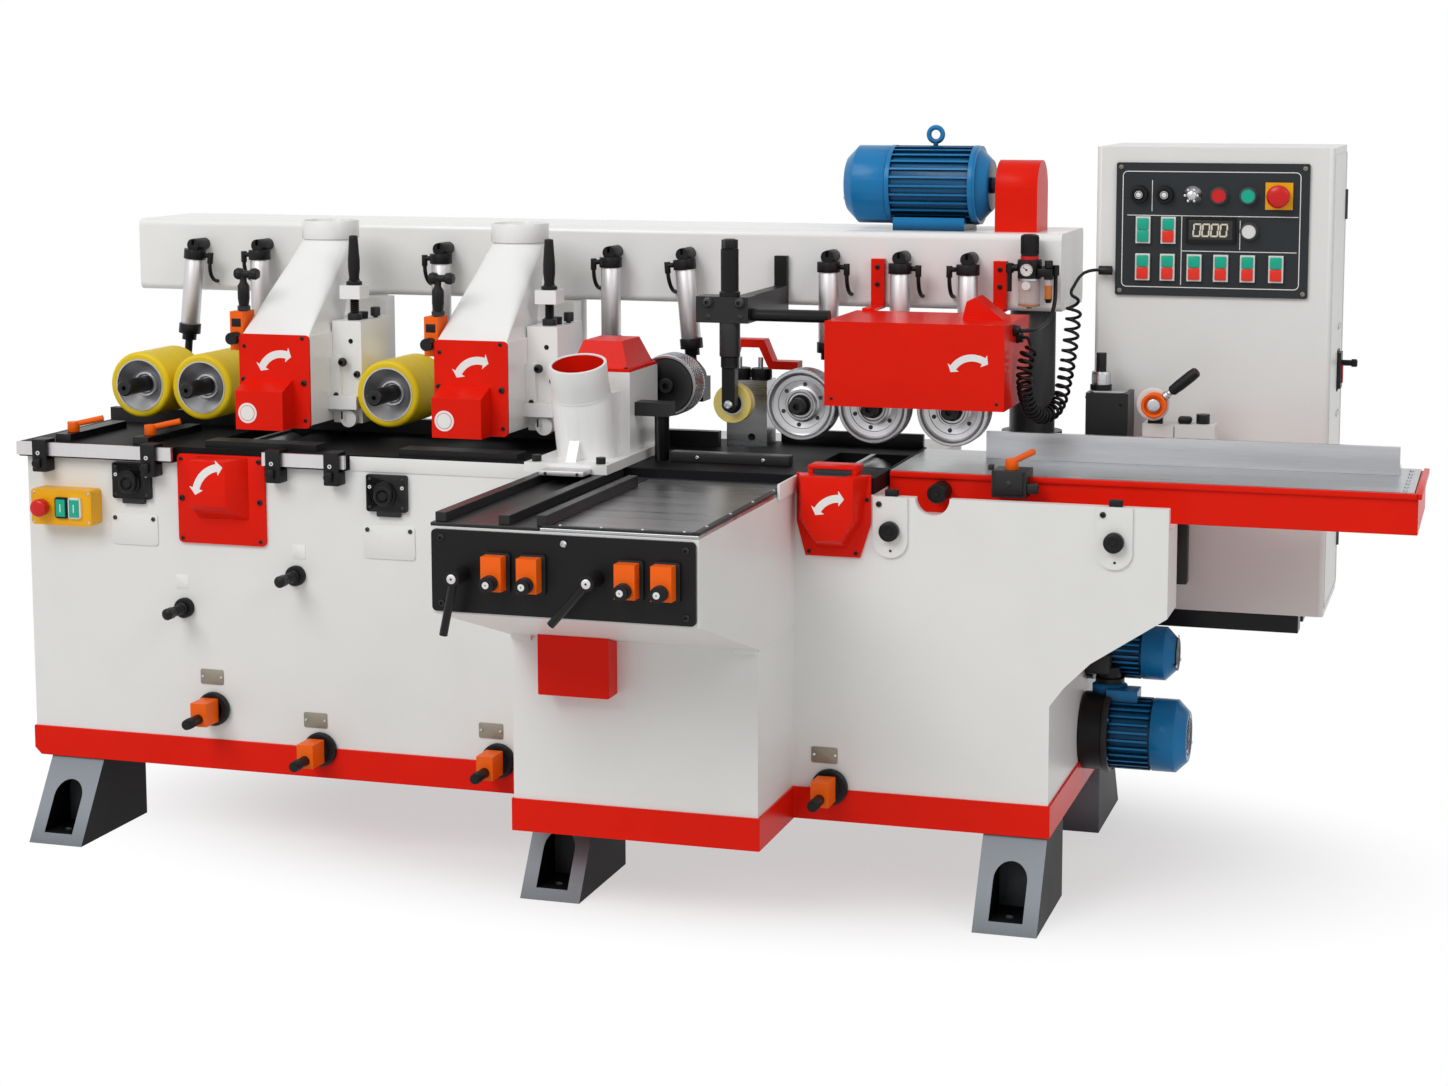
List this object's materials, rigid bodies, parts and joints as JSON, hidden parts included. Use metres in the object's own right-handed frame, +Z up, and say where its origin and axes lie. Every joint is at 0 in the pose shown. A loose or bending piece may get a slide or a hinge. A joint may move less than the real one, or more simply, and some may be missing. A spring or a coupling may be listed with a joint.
{
  "type": "four sided moulder",
  "caption": "Floor-standing four sided moulder with a driven roller feed, hooded cutting heads, a side arm, an infeed table and a control cabinet.",
  "frame": {"origin": "on the floor under the middle of the machine", "axes": "+X along the feed line towards the infeed table, +Y to the back, +Z up"},
  "size_m": [2.716, 1.486, 1.428],
  "materials": {
    "white_paint": "warm white enamel, lightly textured",
    "red_paint": "signal red enamel",
    "cast_grey": "dark grey casting paint",
    "black_steel": "blackened steel, satin",
    "bright_steel": "ground steel",
    "blue_paint": "blue motor enamel",
    "yellow_tyre": "yellow polyurethane",
    "black_plastic": "matt black plastic",
    "orange_plastic": "orange plastic",
    "panel_grey": "dark grey panel",
    "yellow_plastic": "yellow plastic",
    "red_plastic": "red plastic"
  },
  "bodies": {
    "machine": {"base_frame": "white_paint", "base_plinth": "red_paint", "machine_feet": "cast_grey", "bed_plate": "black_steel", "bed_rails": "bright_steel", "feed_beam": "white_paint", "feed_motor": "blue_paint", "belt_guard": "red_paint", "air_cylinders": "bright_steel", "roller_guard": "red_paint", "spindle_covers": "red_paint", "bearing_plates": "black_steel", "start_box": "yellow_plastic", "position_indicators": "orange_plastic", "arm_frame": "white_paint", "arm_panel": "black_steel", "arm_table": "bright_steel", "infeed_frame": "red_paint", "infeed_table": "bright_steel", "cabinet_body": "white_paint", "control_panel": "panel_grey", "drive_motors": "blue_paint", "air_unit": "black_plastic", "curly_hose": "black_plastic", "right_block": "bright_steel", "press_post": "black_steel", "infeed_stop": "black_steel"},
    "top_head_1": {"top_head_1": "white_paint"},
    "top_head_2": {"top_head_2": "white_paint"},
    "side_hood": {"side_hood": "white_paint"},
    "pressure_shoe": {"pressure_shoe": "black_steel"},
    "carrier_1": {"carrier_1": "black_steel"},
    "carrier_2": {"carrier_2": "black_steel"},
    "carrier_3": {"carrier_3": "black_steel"},
    "carrier_4": {"carrier_4": "black_steel"},
    "carrier_5": {"carrier_5": "black_steel"},
    "carrier_6": {"carrier_6": "black_steel"},
    "carrier_7": {"carrier_7": "black_steel"},
    "feed_roller_4": {"feed_roller_4": "bright_steel"},
    "feed_roller_5": {"feed_roller_5": "bright_steel"},
    "feed_roller_6": {"feed_roller_6": "bright_steel"},
    "feed_roller_7": {"feed_roller_7": "bright_steel"},
    "top_cutter_1": {"top_cutter_1": "bright_steel"},
    "top_cutter_2": {"top_cutter_2": "bright_steel"},
    "left_cutter": {"left_cutter": "bright_steel"},
    "right_cutter": {"right_cutter": "bright_steel"},
    "bottom_cutter_1": {"bottom_cutter_1": "bright_steel"},
    "bottom_cutter_2": {"bottom_cutter_2": "bright_steel"},
    "feed_roller_1": {"feed_roller_1": "yellow_tyre"},
    "feed_roller_2": {"feed_roller_2": "yellow_tyre"},
    "feed_roller_3": {"feed_roller_3": "yellow_tyre"},
    "press_wheel": {"press_wheel": "yellow_tyre"},
    "clamp_lever_1": {"clamp_lever_1": "black_plastic"},
    "clamp_lever_2": {"clamp_lever_2": "black_plastic"},
    "bed_lever_1": {"bed_lever_1": "orange_plastic"},
    "bed_lever_2": {"bed_lever_2": "orange_plastic"},
    "fence_lever": {"fence_lever": "orange_plastic"},
    "stop_lever": {"stop_lever": "orange_plastic"},
    "emergency_stop": {"emergency_stop": "red_plastic"},
    "start_mushroom": {"start_mushroom": "red_plastic"}
  },
  "joints": [
    {"name": "carrier_1_lift", "type": "slide", "parent": "machine", "child": "carrier_1", "axis": [0.1045, 0, 0.9945], "range_m": [0, 0.04]},
    {"name": "feed_roller_1_spin", "type": "hinge", "parent": "carrier_1", "child": "feed_roller_1", "pos_m": [-1.178, 0.1, 0.9], "axis": [0, 1, 0], "continuous": true},
    {"name": "carrier_2_lift", "type": "slide", "parent": "machine", "child": "carrier_2", "axis": [0, 0, 1], "range_m": [0, 0.04]},
    {"name": "feed_roller_2_spin", "type": "hinge", "parent": "carrier_2", "child": "feed_roller_2", "pos_m": [-1.038, 0.1, 0.9], "axis": [0, 1, 0], "continuous": true},
    {"name": "carrier_3_lift", "type": "slide", "parent": "machine", "child": "carrier_3", "axis": [0, 0, 1], "range_m": [0, 0.04]},
    {"name": "feed_roller_3_spin", "type": "hinge", "parent": "carrier_3", "child": "feed_roller_3", "pos_m": [-0.627, 0.1, 0.9], "axis": [0, 1, 0], "continuous": true},
    {"name": "carrier_4_lift", "type": "slide", "parent": "machine", "child": "carrier_4", "axis": [-0.0872, 0, 0.9962], "range_m": [0, 0.04]},
    {"name": "feed_roller_4_spin", "type": "hinge", "parent": "carrier_4", "child": "feed_roller_4", "pos_m": [-0.074, 0.1, 0.926], "axis": [0, 1, 0], "continuous": true},
    {"name": "carrier_5_lift", "type": "slide", "parent": "machine", "child": "carrier_5", "axis": [0, 0, 1], "range_m": [0, 0.04]},
    {"name": "feed_roller_5_spin", "type": "hinge", "parent": "carrier_5", "child": "feed_roller_5", "pos_m": [0.202, 0.1, 0.9], "axis": [0, 1, 0], "continuous": true},
    {"name": "carrier_6_lift", "type": "slide", "parent": "machine", "child": "carrier_6", "axis": [0, 0, 1], "range_m": [0, 0.04]},
    {"name": "feed_roller_6_spin", "type": "hinge", "parent": "carrier_6", "child": "feed_roller_6", "pos_m": [0.344, 0.1, 0.9], "axis": [0, 1, 0], "continuous": true},
    {"name": "carrier_7_lift", "type": "slide", "parent": "machine", "child": "carrier_7", "axis": [0, 0, 1], "range_m": [0, 0.04]},
    {"name": "feed_roller_7_spin", "type": "hinge", "parent": "carrier_7", "child": "feed_roller_7", "pos_m": [0.498, 0.1, 0.9], "axis": [0, 1, 0], "continuous": true},
    {"name": "shoe_lift", "type": "slide", "parent": "machine", "child": "pressure_shoe", "axis": [0, 0, 1], "range_m": [0, 0.04]},
    {"name": "top_head_1_lift", "type": "slide", "parent": "machine", "child": "top_head_1", "axis": [0, 0, 1], "range_m": [0, 0.06]},
    {"name": "top_cutter_1_spin", "type": "hinge", "parent": "top_head_1", "child": "top_cutter_1", "pos_m": [-0.416, 0.1, 0.8915], "axis": [0, 1, 0], "continuous": true},
    {"name": "top_head_2_lift", "type": "slide", "parent": "machine", "child": "top_head_2", "axis": [0, 0, 1], "range_m": [0, 0.06]},
    {"name": "top_cutter_2_spin", "type": "hinge", "parent": "top_head_2", "child": "top_cutter_2", "pos_m": [-0.834, 0.1, 0.8915], "axis": [0, 1, 0], "continuous": true},
    {"name": "side_hood_feed", "type": "slide", "parent": "machine", "child": "side_hood", "axis": [0, -1, 0], "range_m": [0, 0.04]},
    {"name": "left_cutter_spin", "type": "hinge", "parent": "side_hood", "child": "left_cutter", "pos_m": [-0.152, 0.058, 0.85], "axis": [0, 0, 1], "continuous": true},
    {"name": "right_cutter_spin", "type": "hinge", "parent": "machine", "child": "right_cutter", "pos_m": [-0.19, 0.237, 0.83], "axis": [0, 0, 1], "continuous": true},
    {"name": "bottom_cutter_1_spin", "type": "hinge", "parent": "machine", "child": "bottom_cutter_1", "pos_m": [0.329, 0.1, 0.7385], "axis": [0, 1, 0], "continuous": true},
    {"name": "bottom_cutter_2_spin", "type": "hinge", "parent": "machine", "child": "bottom_cutter_2", "pos_m": [-0.914, 0.1, 0.7385], "axis": [0, 1, 0], "continuous": true},
    {"name": "clamp_lever_1_turn", "type": "hinge", "parent": "machine", "child": "clamp_lever_1", "pos_m": [-0.157, -0.72, 0.6995], "axis": [0, 1, 0], "range_deg": [-60, 90]},
    {"name": "clamp_lever_2_turn", "type": "hinge", "parent": "machine", "child": "clamp_lever_2", "pos_m": [0.08, -0.72, 0.7045], "axis": [0, 1, 0], "range_deg": [-80, 20]},
    {"name": "bed_lever_1_turn", "type": "hinge", "parent": "machine", "child": "bed_lever_1", "pos_m": [-1.272, -0.07, 0.83], "axis": [0, 0, 1], "range_deg": [-60, 60]},
    {"name": "bed_lever_2_turn", "type": "hinge", "parent": "machine", "child": "bed_lever_2", "pos_m": [-1.098, -0.07, 0.83], "axis": [0, 0, 1], "range_deg": [-60, 60]},
    {"name": "fence_lever_turn", "type": "hinge", "parent": "machine", "child": "fence_lever", "pos_m": [0.64, -0.034, 0.83], "axis": [0, 0, 1], "range_deg": [-50, 50]},
    {"name": "stop_lever_turn", "type": "hinge", "parent": "machine", "child": "stop_lever", "pos_m": [0.85, 0.298, 0.9], "axis": [0, 1, 0], "range_deg": [-90, 35]},
    {"name": "press_wheel_spin", "type": "hinge", "parent": "machine", "child": "press_wheel", "pos_m": [0.07, 0.098, 0.9], "axis": [0, 1, 0], "continuous": true},
    {"name": "emergency_stop_press", "type": "slide", "parent": "machine", "child": "emergency_stop", "axis": [0, 1, 0], "range_m": [0, 0.005], "stiffness_N_per_m": 800},
    {"name": "start_mushroom_press", "type": "slide", "parent": "machine", "child": "start_mushroom", "axis": [0, 1, 0], "range_m": [0, 0.005], "stiffness_N_per_m": 800}
  ],
  "couplings": [
    {"joint": "feed_roller_2_spin", "follows": "feed_roller_1_spin", "ratio": 1},
    {"joint": "feed_roller_3_spin", "follows": "feed_roller_1_spin", "ratio": 1},
    {"joint": "feed_roller_4_spin", "follows": "feed_roller_1_spin", "ratio": 1.0984},
    {"joint": "feed_roller_5_spin", "follows": "feed_roller_1_spin", "ratio": 0.97101},
    {"joint": "feed_roller_6_spin", "follows": "feed_roller_1_spin", "ratio": 0.97101},
    {"joint": "feed_roller_7_spin", "follows": "feed_roller_1_spin", "ratio": 0.97101}
  ]
}
